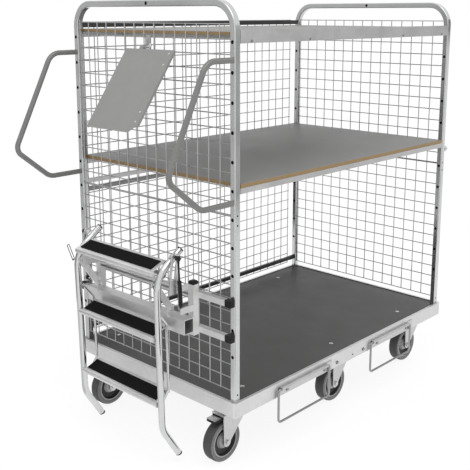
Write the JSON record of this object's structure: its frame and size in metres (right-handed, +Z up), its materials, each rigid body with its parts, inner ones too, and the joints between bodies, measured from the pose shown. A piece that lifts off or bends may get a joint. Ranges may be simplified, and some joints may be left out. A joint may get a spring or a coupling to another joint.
{
  "type": "order picking cart",
  "caption": "Order picking cart with wire mesh ends and back, deck and shelves between bent tube hoops, a tilting writing board and a sprung step ladder on casters.",
  "frame": {"origin": "bottom centre of the bounding box, on the floor", "axes": "+X along the cart from the ladder end to the far end, +Y from the open front to the wire back, +Z up"},
  "size_m": [1.784, 0.916, 1.685],
  "materials": {
    "zinc_steel": "bright zinc plated",
    "deck_ply": "dark grey film, non-slip",
    "shelf_ply": "grey laminate with bare ply edge",
    "black_plastic": "moulded",
    "grey_tube": "grey powder coat",
    "board_sheet": "light grey satin",
    "black_grip": "rough grip",
    "gas_black": "black",
    "grey_tyre": "grey non-marking rubber",
    "wheel_core": "grey moulding"
  },
  "bodies": {
    "cart": {"base_frame": "zinc_steel", "deck_board": "deck_ply", "deck_bolts": "zinc_steel", "near_end_hoop": "zinc_steel", "far_end_hoop": "zinc_steel", "near_end_mesh": "zinc_steel", "far_end_mesh": "zinc_steel", "back_mesh": "zinc_steel", "back_rails": "zinc_steel", "clamp_blocks": "black_plastic", "mid_shelf_frame": "zinc_steel", "mid_shelf_board": "shelf_ply", "top_shelf_frame": "zinc_steel", "top_shelf_board": "shelf_ply", "pull_handles": "grey_tube", "push_bar": "zinc_steel", "board_bracket": "zinc_steel", "loop_strips": "zinc_steel", "frame_bolts": "zinc_steel", "caster_plates": "zinc_steel", "fixed_forks": "zinc_steel", "fixed_axles": "zinc_steel", "ladder_bracket": "zinc_steel", "guide_plates": "zinc_steel", "lift_pins": "zinc_steel"},
    "writing_board": {"writing_board": "board_sheet", "board_wing_screw": "zinc_steel"},
    "side_loop_near": {"side_loop_near": "zinc_steel"},
    "side_loop_far": {"side_loop_far": "zinc_steel"},
    "swivel_near_front": {"fork_near_front": "zinc_steel", "axle_near_front": "zinc_steel"},
    "swivel_near_back": {"fork_near_back": "zinc_steel", "axle_near_back": "zinc_steel"},
    "swivel_far_front": {"fork_far_front": "zinc_steel", "axle_far_front": "zinc_steel"},
    "swivel_far_back": {"fork_far_back": "zinc_steel", "axle_far_back": "zinc_steel"},
    "wheel_near_front": {"tyre_near_front": "grey_tyre", "rim_near_front": "wheel_core"},
    "wheel_near_back": {"tyre_near_back": "grey_tyre", "rim_near_back": "wheel_core"},
    "wheel_far_front": {"tyre_far_front": "grey_tyre", "rim_far_front": "wheel_core"},
    "wheel_far_back": {"tyre_far_back": "grey_tyre", "rim_far_back": "wheel_core"},
    "wheel_middle_front": {"tyre_middle_front": "grey_tyre", "rim_middle_front": "wheel_core"},
    "wheel_middle_back": {"tyre_middle_back": "grey_tyre", "rim_middle_back": "wheel_core"},
    "brake_near_front": {"brake_pedal_near_front": "black_plastic"},
    "brake_near_back": {"brake_pedal_near_back": "black_plastic"},
    "lift_arms": {"lift_arms": "zinc_steel"},
    "ladder": {"ladder_stringers": "zinc_steel", "ladder_rear_rods": "zinc_steel", "ladder_steps": "zinc_steel", "step_treads": "black_grip", "ladder_feet": "black_plastic"},
    "gas_cylinders": {"gas_cylinders": "gas_black"},
    "gas_rods": {"gas_rods": "gas_black"},
    "release_lever": {"release_lever": "zinc_steel"}
  },
  "joints": [
    {"name": "swivel_near_front", "type": "hinge", "parent": "cart", "child": "swivel_near_front", "pos_m": [-0.50851, -0.327, 0.19], "axis": [0, 0, 1], "continuous": true},
    {"name": "wheel_near_front", "type": "hinge", "parent": "swivel_near_front", "child": "wheel_near_front", "pos_m": [-0.55651, -0.327, 0.08], "axis": [0, 1, 0], "continuous": true},
    {"name": "swivel_near_back", "type": "hinge", "parent": "cart", "child": "swivel_near_back", "pos_m": [-0.50851, 0.343, 0.19], "axis": [0, 0, 1], "continuous": true},
    {"name": "wheel_near_back", "type": "hinge", "parent": "swivel_near_back", "child": "wheel_near_back", "pos_m": [-0.55651, 0.343, 0.08], "axis": [0, 1, 0], "continuous": true},
    {"name": "swivel_far_front", "type": "hinge", "parent": "cart", "child": "swivel_far_front", "pos_m": [0.73949, -0.327, 0.19], "axis": [0, 0, 1], "continuous": true},
    {"name": "wheel_far_front", "type": "hinge", "parent": "swivel_far_front", "child": "wheel_far_front", "pos_m": [0.69149, -0.327, 0.08], "axis": [0, 1, 0], "continuous": true},
    {"name": "swivel_far_back", "type": "hinge", "parent": "cart", "child": "swivel_far_back", "pos_m": [0.73949, 0.343, 0.19], "axis": [0, 0, 1], "continuous": true},
    {"name": "wheel_far_back", "type": "hinge", "parent": "swivel_far_back", "child": "wheel_far_back", "pos_m": [0.69149, 0.343, 0.08], "axis": [0, 1, 0], "continuous": true},
    {"name": "wheel_middle_front", "type": "hinge", "parent": "cart", "child": "wheel_middle_front", "pos_m": [0.11549, -0.327, 0.08], "axis": [0, 1, 0], "continuous": true},
    {"name": "wheel_middle_back", "type": "hinge", "parent": "cart", "child": "wheel_middle_back", "pos_m": [0.11549, 0.343, 0.08], "axis": [0, 1, 0], "continuous": true},
    {"name": "brake_near_front", "type": "hinge", "parent": "swivel_near_front", "child": "brake_near_front", "pos_m": [-0.55651, -0.327, 0.175], "axis": [0, -1, 0], "range_deg": [0, 8], "stiffness_Nm_per_rad": 20, "springref_deg": -2.86},
    {"name": "brake_near_back", "type": "hinge", "parent": "swivel_near_back", "child": "brake_near_back", "pos_m": [-0.55651, 0.343, 0.175], "axis": [0, -1, 0], "range_deg": [0, 8], "stiffness_Nm_per_rad": 20, "springref_deg": -2.86},
    {"name": "board_tilt", "type": "hinge", "parent": "cart", "child": "writing_board", "pos_m": [-0.60751, 0.008, 1.518], "axis": [0, 1, 0], "range_deg": [-30, 50]},
    {"name": "side_loop_near", "type": "hinge", "parent": "cart", "child": "side_loop_near", "pos_m": [-0.21701, -0.451, 0.253], "axis": [-1, 0, 0], "range_deg": [0, 90]},
    {"name": "side_loop_far", "type": "hinge", "parent": "cart", "child": "side_loop_far", "pos_m": [0.39399, -0.451, 0.253], "axis": [-1, 0, 0], "range_deg": [0, 90]},
    {"name": "ladder_lift", "type": "hinge", "parent": "cart", "child": "lift_arms", "pos_m": [-0.68554, 0.008, 0.59604], "axis": [0, -1, 0], "range_deg": [0, 25.99], "stiffness_Nm_per_rad": 24, "springref_deg": -28.65},
    {"name": "ladder_tilt", "type": "hinge", "parent": "lift_arms", "child": "ladder", "pos_m": [-0.76353, 0.008, 0.70704], "axis": [0, 1, 0], "range_deg": [0, 46.99]},
    {"name": "gas_cylinder_swing", "type": "hinge", "parent": "cart", "child": "gas_cylinders", "pos_m": [-0.69054, 0.008, 0.60604], "axis": [0, -1, 0], "range_deg": [0, 7.39]},
    {"name": "gas_rod_swing", "type": "hinge", "parent": "ladder", "child": "gas_rods", "pos_m": [-0.70149, 0.008, 0.79998], "axis": [0, -1, 0], "range_deg": [0, 28.39]},
    {"name": "release_lever", "type": "hinge", "parent": "ladder", "child": "release_lever", "pos_m": [-0.77351, 0.256, 0.706], "axis": [0, -1, 0], "range_deg": [0, 25], "stiffness_Nm_per_rad": 0.3, "springref_deg": -11.46}
  ],
  "couplings": [
    {"joint": "ladder_tilt", "follows": "ladder_lift", "ratio": 1.808},
    {"joint": "gas_cylinder_swing", "follows": "ladder_lift", "ratio": 0.28416},
    {"joint": "gas_rod_swing", "follows": "ladder_lift", "ratio": 1.0921}
  ]
}
